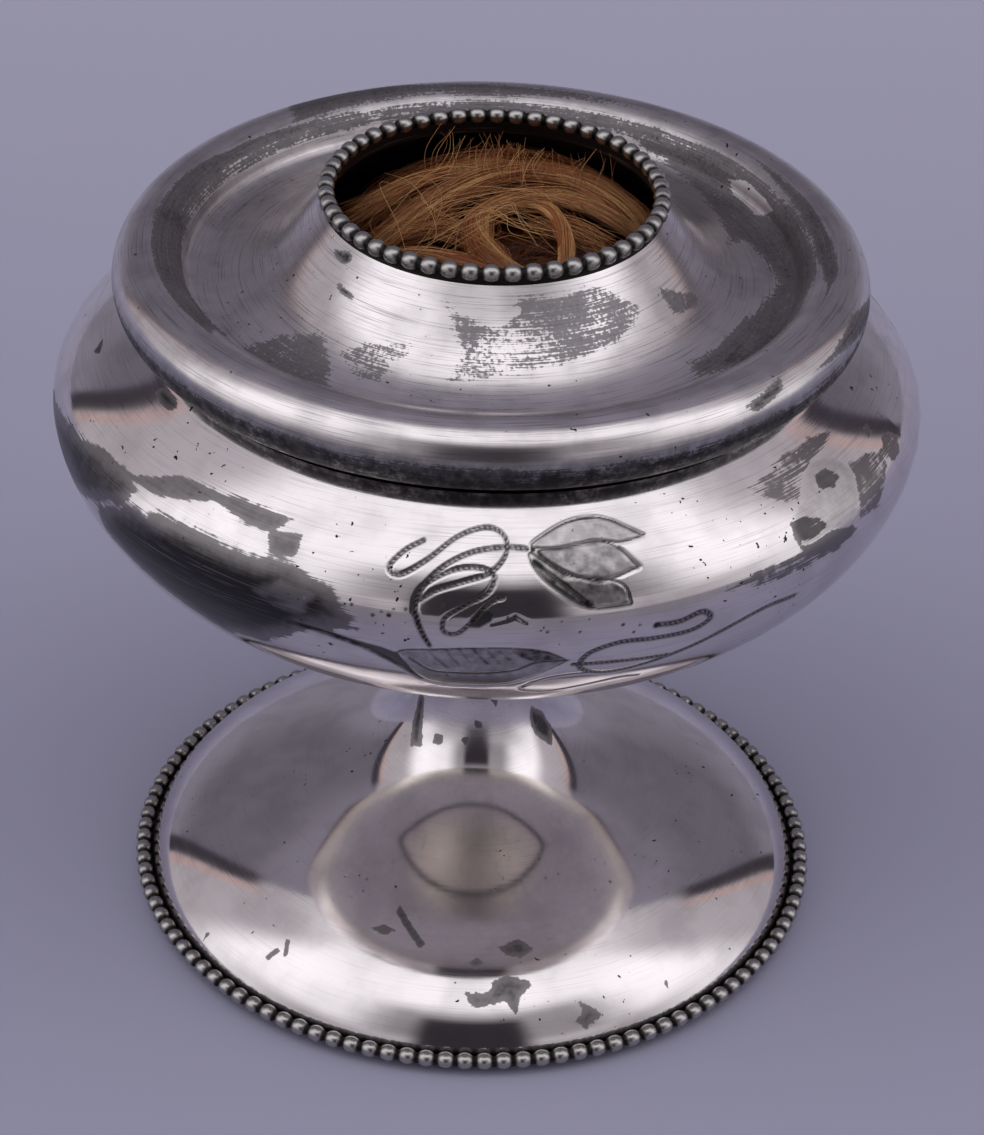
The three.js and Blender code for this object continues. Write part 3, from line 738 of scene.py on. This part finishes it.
def makeFoot():
    outside = footLine()
    inside = walled(outside, foot["sheet"])[:-1][::-3]
    inner, ease = foot["radius"] - foot["land"], foot["ease"]
    line = np.vstack([
        [(0, foot["headHeight"] - foot["sheet"])], inside,
        [(inner, foot["sheet"]), (inner, foot["innerEase"]), (inner + ease, 0)],
        [(foot["radius"] - ease, 0), (foot["radius"], ease)], outside, [(0, foot["headHeight"])]])
    columns = np.concatenate([
        np.arange(-180, -foot["markedTo"], foot["plainStep"]),
        np.arange(-foot["markedTo"], foot["markedTo"], foot["markedStep"]),
        np.arange(foot["markedTo"], 179, foot["plainStep"])])
    shape = turned(line, np.radians(columns))
    radius = np.hypot(shape["points"][:, 0], shape["points"][:, 1])
    across = shape["turn"] * foot["markRadius"]
    film = outlineField(across, radius, footFilm, math.radians(foot["markRadius"]))
    height = shape["points"][:, 2]
    film = np.maximum(film, outlineField(
        shape["turn"] * foot["neckRadius"], height, neckFilm, math.radians(foot["neckRadius"])))
    film = np.maximum(film, ringField(radius, footRings))
    dull = np.clip((height - foot["dullFrom"]) / foot["dullOver"], 0, foot["dullMost"])
    film = np.where(shape["along"] > lengthAlong(inside)[-1], film, foot["insideFilm"])
    obj = makePiece("foot", shape, silverPlate("worn silver plate foot", footWear),
                    dict(along=shape["along"], film=film, dull=dull))
    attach(obj, "receiver")
    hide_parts("foot_shell")


def makeStemPlate():
    # every sixth point on the first stretch of the bowl's underside, dropped by the solder gap
    top = bowlLine()[:int(bowl["bellySteps"] * foot["plateShare"]) + 1:6] - (0, foot["plateGap"])
    under = top - (0, foot["sheet"])
    shape = turned(np.vstack([under, top[::-1]]), allRound(120))
    radius = np.hypot(shape["points"][:, 0], shape["points"][:, 1])
    # film rises towards the plate's edge: tarnish in the joint, and painted shade under the bowl
    film = (radius - top[-1, 0] + foot["grimeAndShadeWidth"]) / foot["grimeAndShadeOver"]
    film = np.clip(film, foot["grimeAndShadeLeast"], foot["grimeAndShadeMost"])
    dull, warm = np.ones((2, len(radius)))
    obj = makePiece("stem_plate_disc", shape, silverPlate("worn silver plate disc", discWear),
                    dict(along=shape["along"], film=film, dull=dull, warm=warm))
    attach(obj, "receiver")
    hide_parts("stem_plate")


makeFoot()
makeStemPlate()

# cover with its bezel, in heights above the seat on the lip
cover = dict(
    seat=91.3, lipRadius=43.4, overhang=3.75, rollTube=4.46, rollHeight=1.54, rollEnd=-65, rollEntry=165,
    entryPull=1.8, troughInset=2.9, troughSink=0.44, troughSlope=4, coneRise=10, coneWidth=14.3, coneSlope=50,
    conePullTop=9, conePullFoot=6, openingLip=0.7, sheet=0.9, bezelDepth=6.8, bezelWall=1, slip=0.3,
    seatOverlap=0.4, patchRadius=30, backShade=0.3, backFrom=8, lipSteps=6, coneSteps=48, columns=300,
    insideFilm=2.0, bezelFilm=0.35, bezelColumns=180,
)
# tarnish on the cover: soft edge, most, then corners in degrees round the front and mm out from the opening
coverFilm = [
    (1.5, 0.75, (-144, 24.6), (-124, 25.6), (-106, 27), (-84, 27), (-69, 27), (-52, 26.5), (-61, 19),
     (-72, 20), (-81, 21.5), (-99, 23.2), (-120, 23.8), (-144, 23.5)),
    (4, 0.66, (-56, 18), (-53, 13), (-45, 11), (-36, 14), (-26, 24), (-32, 26), (-45, 24)),
    (0.8, 1, (-61, 1.8), (-52, 0.6), (-49, 1.4), (-52, 2.4)),
    (3.5, 0.6, (-36, 12), (-32, 9.6), (-20, 8.4), (-20, 9.8), (-24, 10.6), (-24, 13.6), (-30, 14.2)),
    (4, 0.56, (-14, 2.6), (-3, 4.8), (4, 5), (10, 2), (24, 2), (34, 1.4), (46, 6), (39, 7.4), (25, 9.3),
     (7, 10.2), (-9, 12), (-6, 8), (-9, 5.5)),
    (2, 0.66, (56, 5), (68, 8.4), (65, 9.8), (55, 8.4)),
    (4, 0.75, (153, 22.5), (133, 24), (107, 24.6), (84, 24.6), (74, 24), (60, 20), (46, 17), (48, 14.7),
     (72, 15), (91, 18.5), (107, 16.3), (103, 12.8), (124, 16.3), (138, 19.2)),
    (1.5, 0.75, (125, 26.1), (101, 26.7), (82, 27.8), (74, 27.1), (88, 25), (101, 24.8), (117, 25.2)),
    (1.2, 0.9, (40, 31.8), (49, 30.3), (48, 31.8), (42, 32.8)),
    (1.5, 0.9, (56, 32.2), (73, 31), (84, 33.4), (80, 34.8), (65, 33)),
    (3, 0.68, (-179.9, 25.4), (-164, 25.5), (-150, 25.5), (-139, 25.2), (-142, 29.6), (-165, 28.6),
     (-179.9, 27.6)),
    (3, 0.68, (179.9, 25.4), (168, 25.8), (152, 26.6), (168, 27.4), (179.9, 27.6)),
    (0.6, 1, (-50, 4.9), (-49, 4.4), (-42, 4.9), (-42, 5.5), (-46, 5.5)),
]
coverRubbed = [
    (1, 1, (-3, 3.2), (3, 2.6), (9, 3.2), (3, 4.4)),
    (1.5, 1, (127, 22), (123, 23), (113, 22.3), (116, 20.4), (125, 20.7)),
]
# film right round: painted shade under the beads, flecks on the dish, the inner wall of the roll,
# and its lower half, tarnish there with painted shade
coverRings = [(-1.4, 0.9, 0.6, 1.3), (16, 9, 5, 0.3), (23.4, 1.4, 1.5, 0.62), (36.8, 3, 2, 0.62)]
coverWear = dict(
    film="#8a8588", blotchShare=0.6, flakeShare=0.6, flakeSize=0.45, streakShare=0.6, brushed=0.65,
    pitLevel=0.79)
bezelWear = dict(coverWear, streakShare=0.1, pitLevel=0.74)
# how matt the cover is at so many mm out from the opening: bright cone, scoured dish, duller roll
coverDull = dict(out=(8, 14, 26, 29), dull=(0.3, 0.6, 0.6, 0.35))
coverShade = dict(out=(32.4, 35.4, 40), shade=(0, 1, 1))   # and how dark the roll grows towards its free edge: painted shade, partly its tarnish


def coverLine():
    # from the opening out: lip, cone, dish, then the roll round to its free edge
    middle = np.array([cover["lipRadius"] + cover["overhang"] - cover["rollTube"], cover["rollHeight"]])
    entry = middle + arm(cover["rollEntry"], cover["rollTube"])
    trough = np.array([entry[0] - cover["troughInset"], cover["rollHeight"] - cover["troughSink"]])
    coneTop = trough + (-cover["coneWidth"], cover["coneRise"])
    turnDown = np.radians(np.linspace(cover["rollEntry"], cover["rollEnd"], 61))
    return entry, joined(
        handleCurve(cover["lipSteps"], coneTop - (cover["openingLip"], 0), coneTop),
        handleCurve(cover["coneSteps"], coneTop, coneTop + arm(-cover["coneSlope"], cover["conePullTop"]),
                    trough + arm(180 - cover["troughSlope"], cover["conePullFoot"]), trough),
        handleCurve(14, trough, entry + arm(cover["rollEntry"] + 90, cover["entryPull"]), entry),
        middle + cover["rollTube"] * np.stack([np.cos(turnDown), np.sin(turnDown)], 1),
    )


def makeCover():
    outside = coverLine()[1][::-1]
    inside = walled(outside, cover["sheet"])[::-3]
    line = np.vstack([outside, inside]) + (0, cover["seat"])
    shape = turned(line, allRound(cover["columns"]), ring=True)
    out = lengthAlong(outside)[-1] - shape["along"] - cover["openingLip"]
    across, degree = shape["turn"] * cover["patchRadius"], math.radians(cover["patchRadius"])
    film = np.maximum(outlineField(across, out, coverFilm, degree), ringField(out, coverRings))
    film -= rubbedOff(across, out, coverRubbed, degree)
    film = np.where(out > -cover["openingLip"] - 0.01, film, cover["insideFilm"])   # black with age, and painted shade inside the cover
    dull = np.interp(out, coverDull["out"], coverDull["dull"])
    # painted shade at the back, where the dish mirrors the grey paper: half of 1 - cos of the azimuth
    back = cover["backShade"] * np.where(out > cover["backFrom"], 0.5 - 0.5 * np.cos(shape["turn"]), 0)
    # the shaded field of the cover is painted shade, at the back and on the roll
    shaded = np.maximum(back, np.interp(out, coverShade["out"], coverShade["shade"]))
    obj = makePiece("cover", shape, silverPlate("worn silver plate cover", coverWear),
                    dict(along=shape["along"], film=film, dull=dull, shaded=shaded))
    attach(obj, "cover")
    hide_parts("cover_shell")


def makeBezel():
    # a seat that lies on the lip, and a ring below it that finds the mouth of the bowl
    entry = coverLine()[0]
    bezelOuter = cover["lipRadius"] - cover["sheet"] - cover["slip"]
    bezelInner = bezelOuter - cover["bezelWall"]
    seatInner, seatOuter = entry[0] + cover["slip"], cover["lipRadius"] + cover["seatOverlap"]
    ringLine = np.array([
        (bezelOuter, -cover["bezelDepth"]), (bezelOuter, 0), (seatOuter, 0), (seatOuter, cover["sheet"]),
        (seatInner, cover["sheet"]), (seatInner, 0), (bezelInner, 0), (bezelInner, -cover["bezelDepth"])])
    shape = turned(ringLine + (0, cover["seat"]), allRound(cover["bezelColumns"]), ring=True)
    obj = makePiece("cover_seat_ring", shape, silverPlate("worn silver plate bezel", bezelWear),
                    dict(along=shape["along"], film=np.full(len(shape["points"]), cover["bezelFilm"])))
    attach(obj, "cover")
    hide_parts("cover_bezel")


makeCover()
makeBezel()

# bead wires
beads = dict(
    radius=1.1, pitch=2.5, ball=1.3, neck=0.5, stepsEach=10, sides=12,
    openingRing=20.69, openingHeight=103.8, footRing=45.6, footHeight=2.2,
    openingStrip=(20.1, 102.35, 20.9, 103.3), footStrip=(44.4, 1, 45.1, 1.9),   # inner, lower, outer, upper
)


def makeBeads(name, ring, height, strip, body, node, finish):
    # a tube round the axis whose radius swells as a ball, sqrt(1 - (d / ball)^2), between thin necks,
    # on the flat strip that is soldered to the edge
    count = round(2 * math.pi * ring / beads["pitch"])
    turn = allRound(count * beads["stepsEach"])
    reach = np.abs((turn / (2 * math.pi) * count + 0.5) % 1 - 0.5) * beads["pitch"]
    swell = np.maximum(np.sqrt(np.clip(1 - (reach / beads["ball"]) ** 2, 0, 1)), beads["neck"])
    around = allRound(beads["sides"])
    radius = ring + beads["radius"] * swell * np.cos(around)[:, None]
    rise = height + beads["radius"] * swell * np.sin(around)[:, None]
    points = np.stack([radius * np.sin(turn), -radius * np.cos(turn), rise], -1)
    here = np.arange(points.shape[0] * points.shape[1]).reshape(points.shape[:2])
    crown = np.broadcast_to((swell - beads["neck"]) / (1 - beads["neck"]), points.shape[:2]).ravel()
    inner, lower, outer, upper = strip
    section = np.array([(inner, lower), (outer, lower), (outer, upper), (inner, upper)])
    base = turned(section, allRound(count), ring=True)
    shape = dict(
        points=np.vstack([points.reshape(-1, 3), base["points"]]), tris=base["tris"],
        quads=np.vstack([gridQuads(here, ring=True), base["quads"] + here.size]))
    # the strips take crown 0, the dark seam tone: oxide, and painted shade under the beads
    crown = np.append(crown, np.zeros(len(base["points"])))
    obj = makePiece(name, shape, finish, dict(crown=crown), sharpAngle=60)
    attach(obj, body)
    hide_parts(node)


beadFinish = oxidisedBeads()
makeBeads("opening_beads", beads["openingRing"], beads["openingHeight"], beads["openingStrip"],
          "cover", "opening_bead_ring", beadFinish)
makeBeads("foot_beads", beads["footRing"], beads["footHeight"], beads["footStrip"],
          "receiver", "foot_bead_rim", beadFinish)

# the combings: a wad, dark as painted shade in the gaps, and locks laid over it
wad = dict(radius=23, seat=8, floor=49, top=94.8, round=18, locks=6, furrow=0.05, twist=0.06,
           fibres=54, fibre=0.008, shade=0.08, fibreShade=0.06, columns=180)
strand = dict(thick=0.07, steps=14, sides=3, perTress=26, air=0.8, tipThin=0.35, tipCut=0.05)
# left to chance: places in the section, straying and its share upward, tones, and the lengths cut off
chance = dict(tressPlace=0.85, strandPlace=0.25, tressStray=0.8, strandStray=0.5, upward=0.35, tressTone=0.15,
              strandTone=0.13, highTone=0.2, startCut=0.15, endCut=0.2)
# a lock's body is darker than its strands, paler on ripple crests and dark at its ends: painted shade
body = dict(sides=60, steps=40, fill=0.84, ripples=13, ripple=0.06, twist=9, endCut=0.03, dark=0.62,
            rippleTone=0.12, endTone=0.1)
coat = dict(strands=1900, lift=0.25, loose=0.5, lean=1.1, wander=0.16, low=0.12, high=0.9, shade=0.3,
            startOver=0.6, shortest=0.15, longer=0.25, bend=4, bendFrom=6, tone=0.16)
upright = (0, 0, 1)
nearlyUpright = (0.05, 0.02, 1)   # no strand runs along it
# each lock from root to tip, with the half sizes of its oval section, how far its strands stray, their number
# and their shade from dark 0 to pale 1; strands cling in tresses, and loose ones are a tress each
# locks that lie under or behind others have darker shades: painted shade
locks = [
    dict(name="behind", wide=3, deep=1.8, stray=1.1, strands=700, shade=0.24,
         points=[(-19, 5, 93), (-11, 15.5, 95.5), (-2, 19, 96.8), (7, 19.5, 96.8), (14, 16, 95.6),
                 (19.5, 10, 94)]),
    dict(name="left_under", wide=4.5, deep=1, stray=1, strands=460, shade=0.3,
         points=[(-18, 0, 93.5), (-10, -3, 95), (-2, -7, 95.4), (6, -9, 95), (13, -8, 94.2)]),
    dict(name="right_under", wide=4.4, deep=0.8, stray=1.1, strands=460, shade=0.22,
         points=[(19, -1, 94), (13, 0, 94.6), (7, -1, 95), (2, -4, 95.4), (-4, -8, 95)]),
    dict(name="back", wide=2.3, deep=1.2, stray=0.8, strands=620, shade=0.46,
         points=[(-19, 7, 94.6), (-12.5, 12.5, 96.6), (-6.5, 15.5, 97.8), (-1, 17.2, 98.2), (5, 18, 97.6)]),
    dict(name="arch", wide=2.6, deep=1.4, stray=0.3, strands=1300, shade=0.5,
         points=[(-15.5, -1.5, 95.2), (-9, 6, 97.2), (-3.4, 11.4, 98.2), (1.6, 14.2, 98.6), (6.6, 14.6, 98.6),
                 (12, 12.8, 98), (17, 8.8, 96.8), (20, 4.5, 95.4)]),
    dict(name="swirl", wide=1.9, deep=1.1, stray=0.3, strands=900, shade=0.55,
         points=[(20, 3.5, 95.4), (15, 7.6, 96.8), (9.4, 9.8, 97.8), (4, 9, 98.2), (-0.6, 5.8, 98),
                 (-2, 1, 97.6), (-0.4, -4.2, 96.9), (4, -7.8, 95.9)]),
    dict(name="tuft", wide=1.1, deep=0.8, stray=0.25, strands=420, shade=0.66,
         points=[(4, 7.6, 97.8), (6.6, 6, 98.4), (8.4, 2, 98), (9, -2.8, 97), (8.6, -7.5, 95.6)]),
    dict(name="loose", wide=2.2, deep=0.9, stray=1, strands=260, shade=0.42,
         points=[(-17, 1, 95), (-10, 2.4, 96.6), (-4.4, 2, 97.2), (-1, -2.6, 97), (1.6, -7.4, 96)]),
    dict(name="front", wide=1.9, deep=0.9, stray=0.6, strands=420, shade=0.48,
         points=[(-15, -3, 95), (-7.5, -4, 96.2), (-1.5, -6, 96.4), (4.4, -8.6, 95.6)]),
    dict(name="crossing", wide=2.6, deep=0.7, stray=1, strands=80, tresses=80, shade=0.6,
         points=[(4.6, 5.6, 97.2), (10, 3.6, 97), (16, 0.6, 95.6)]),
    dict(name="flyaway", wide=8, deep=0.6, stray=2.2, strands=64, tresses=64, shade=0.72,
         points=[(-11, 1, 97), (-3, 6, 98.8), (5, 7.5, 98.8), (12.5, 3, 97)]),
    dict(name="upright", wide=8, deep=1, stray=2.4, strands=15, tresses=15, shade=0.85,
         points=[(-8, 14, 98.8), (-8.2, 8.5, 99), (-8, 1, 97.8), (-6, -5.4, 96.2)]),
    dict(name="bristles", wide=12, deep=0.8, stray=1, strands=70, tresses=70, shade=0.6,
         points=[(2.4, 11.8, 98.6), (2.6, 13.2, 101), (2.9, 14.4, 103.4)]),
]
fullLocks = ("arch", "swirl", "tuft", "back", "behind", "front")   # packed so close that they have a body


def pathAt(points, t):
    # the same curve for many strands at once, read at shares t of its whole run, just short of its end
    first, last = 2 * points[:, :1] - points[:, 1:2], 2 * points[:, -1:] - points[:, -2:-1]
    padded = np.concatenate([first, points, last], 1)
    spot = np.clip(t, 0, 0.99999) * (points.shape[1] - 1)
    index = spot.astype(int)
    share = (spot - index)[..., None]
    row = np.arange(len(points))[:, None]
    return catmullRom(*(padded[row, index + offset] for offset in range(4)), share)


def sectionAxes(paths, up):
    # across a path and above it, square to its way ahead, as unit arrows
    ahead = np.gradient(paths, axis=-2)
    across = np.cross(ahead, up)
    across /= np.linalg.norm(across, axis=-1, keepdims=True)
    above = np.cross(across, ahead)
    return across, above / np.linalg.norm(above, axis=-1, keepdims=True)


def discSpots(number, size):
    # even chances over a disc: the distance from its middle goes as a square root
    reach, angle = size * np.sqrt(random.random(number)), 2 * math.pi * random.random(number)
    return np.stack([reach * np.cos(angle), reach * np.sin(angle)], 1)


def roomUnderCone(height):
    # how far from the axis hair may lie at a height: the inside of the lip and the cone, less some air
    under = walled(coverLine()[1], -cover["sheet"])[:cover["lipSteps"] + cover["coneSteps"] + 1]
    radius, level = under[::-1].T
    return np.interp(height, level + cover["seat"], radius) - strand["air"]


def strandPaths(lock):
    # a tress keeps a place in the lock's oval section and a strand one round its tress; both stray at each
    # point, and a strand starts and ends by chance; the tone follows the tress, and deep strands are darker
    count = lock["strands"]
    tresses = lock.get("tresses", count // strand["perTress"])
    tress = random.integers(0, tresses, count)
    points = np.array(lock["points"], float)
    across, above = sectionAxes(points, upright)
    spot = discSpots(tresses, chance["tressPlace"])[tress] + discSpots(count, chance["strandPlace"])
    own = points + spot[:, :1, None] * lock["wide"] * across + spot[:, 1:, None] * lock["deep"] * above
    drift = chance["tressStray"] * random.normal(0, lock["stray"], (tresses, *points.shape))[tress]
    drift = drift + chance["strandStray"] * random.normal(0, lock["stray"], own.shape)
    own += drift * (1, 1, chance["upward"])
    tone = lock["shade"] + random.normal(0, chance["tressTone"], tresses)[tress]
    # strands deep in the lock are darker and high ones paler: painted shade and light
    tone = tone + random.normal(0, chance["strandTone"], count) + chance["highTone"] * spot[:, 1]
    start = chance["startCut"] * random.random((count, 1))
    end = 1 - chance["endCut"] * random.random((count, 1))
    paths = pathAt(own, start + (end - start) * np.linspace(0, 1, strand["steps"] + 1))
    # the cone holds the hair in: what would lie past the room at its height is drawn back to it
    reach = np.hypot(paths[..., 0], paths[..., 1])
    paths[..., :2] *= np.minimum(1, roomUnderCone(paths[..., 2]) / np.maximum(reach, 1e-6))[..., None]
    return paths, np.clip(tone, 0, 1)


def lockBody(lock):
    # the packed middle of a lock: an oval tube with twisted ripples that narrows at both ends
    run = np.linspace(0, 1, body["steps"] + 1)
    centre = pathAt(np.array([lock["points"]], float), run[None])[0]
    across, above = sectionAxes(centre, upright)
    around = allRound(body["sides"])
    ripple = np.cos(body["ripples"] * around + body["twist"] * run[:, None])
    swell = np.sqrt(np.sin(math.pi * (body["endCut"] + (1 - 2 * body["endCut"]) * run)))
    size = body["fill"] * (1 + body["ripple"] * ripple) * swell[:, None]
    wide, deep = size * np.cos(around) * lock["wide"], size * np.sin(around) * lock["deep"]
    points = centre[:, None] + wide[..., None] * across[:, None] + deep[..., None] * above[:, None]
    here = np.arange(points.shape[0] * points.shape[1]).reshape(points.shape[:2])
    nextSide, ends = np.roll(here, -1, 1), np.full(body["sides"], here.size)
    tris = np.concatenate([
        np.stack([nextSide[0], here[0], ends], 1), np.stack([here[-1], nextSide[-1], ends + 1], 1)])
    points = np.vstack([points.reshape(-1, 3), centre[[0, -1]]])
    # painted shade: the body darker than its strands, lighter on ripple crests, dark at the end caps
    shade = lock["shade"] * body["dark"] + body["rippleTone"] * ripple.ravel()
    shade = np.append(shade, [body["endTone"]] * 2)
    return dict(points=points, quads=gridQuads(here), tris=tris), np.clip(shade, 0, 1)


def tubes(paths, thick):
    # three-sided tubes: a ring of points round each path point, narrow at the tips and closed there
    across, above = sectionAxes(paths, nearlyUpright)
    count, steps = paths.shape[:2]
    swell = np.sqrt(np.sin(math.pi * np.linspace(strand["tipCut"], 1 - strand["tipCut"], steps)))
    radius = thick / 2 * (strand["tipThin"] + (1 - strand["tipThin"]) * swell)[:, None, None]
    around = np.arange(strand["sides"]) * 2 * math.pi / strand["sides"]
    ring = across[:, :, None] * np.cos(around)[:, None] + above[:, :, None] * np.sin(around)[:, None]
    points = paths[:, :, None] + radius * ring
    here = np.arange(count * steps * strand["sides"]).reshape(count, steps, strand["sides"])
    tris = np.concatenate([here[:, 0, ::-1], here[:, -1]])
    return dict(points=points.reshape(-1, 3), quads=gridQuads(here), tris=tris)


def coatPaths(outline):
    # strands over the side of the wad: each climbs a stretch of its outline, and leans and wanders round it
    count, run = coat["strands"], np.linspace(0, 1, strand["steps"] + 1)
    first, second, turn, phase, off = random.random((5, count, 1))
    climb = coat["startOver"] * first + (coat["shortest"] + coat["longer"] * second) * run
    share = coat["low"] + (coat["high"] - coat["low"]) * climb
    radius, height = resampled(outline, share.ravel() * lengthAlong(outline)[-1]).T.reshape(2, *share.shape)
    wander = coat["wander"] * np.sin(coat["bend"] * run + coat["bendFrom"] * phase)
    azimuth = 2 * math.pi * turn + coat["lean"] * share + wander
    furrow = 1 + wad["furrow"] * np.cos(wad["locks"] * (azimuth + wad["twist"] * height))
    radius = radius * furrow + coat["lift"] + coat["loose"] * off
    paths = np.stack([radius * np.sin(azimuth), -radius * np.cos(azimuth), height], -1)
    return paths, np.clip(coat["shade"] + random.normal(0, coat["tone"], count), 0, 1)


def makeHair():
    finish = humanHair()
    sideLow = (wad["radius"], wad["floor"] + wad["round"])
    sideHigh = (wad["radius"], wad["top"] - wad["round"])
    outline = joined(
        handleCurve(12, (wad["seat"], wad["floor"]), (wad["radius"], wad["floor"]), sideLow),
        handleCurve(10, sideLow, sideHigh),
        handleCurve(24, sideHigh, (wad["radius"], wad["top"]), (wad["seat"], wad["top"]), (0, wad["top"])),
    )
    shape = turned(np.vstack([[(0, wad["floor"])], outline]), allRound(wad["columns"]))
    twisted = shape["turn"] + wad["twist"] * shape["points"][:, 2]
    furrow, fibre = np.cos(wad["locks"] * twisted), np.cos(wad["fibres"] * twisted)
    shape["points"][:, :2] *= (1 + wad["furrow"] * furrow + wad["fibre"] * fibre)[:, None]
    # the core's near-black shade is painted shade where it shows between the locks
    obj = makePiece("hair_wad_core", shape, finish, dict(shade=wad["shade"] + wad["fibreShade"] * fibre))
    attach(obj, "receiver")
    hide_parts("hair_wad")
    for lock in [*locks, dict(coat, name="coat")]:
        paths, tone = strandPaths(lock) if "points" in lock else coatPaths(outline)
        shape = tubes(paths, strand["thick"])
        tone = np.repeat(tone, strand["sides"] * (strand["steps"] + 1))
        if lock["name"] in fullLocks:
            packed, packedTone = lockBody(lock)
            first = len(shape["points"])
            shape = dict(points=np.vstack([shape["points"], packed["points"]]),
                         quads=np.vstack([shape["quads"], packed["quads"] + first]),
                         tris=np.vstack([shape["tris"], packed["tris"] + first]))
            tone = np.append(tone, packedTone)
        obj = makePiece(f"hair_{lock['name']}", shape, finish, dict(shade=tone), sharpAngle=180)
        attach(obj, "receiver")


makeHair()
print("hair combed")
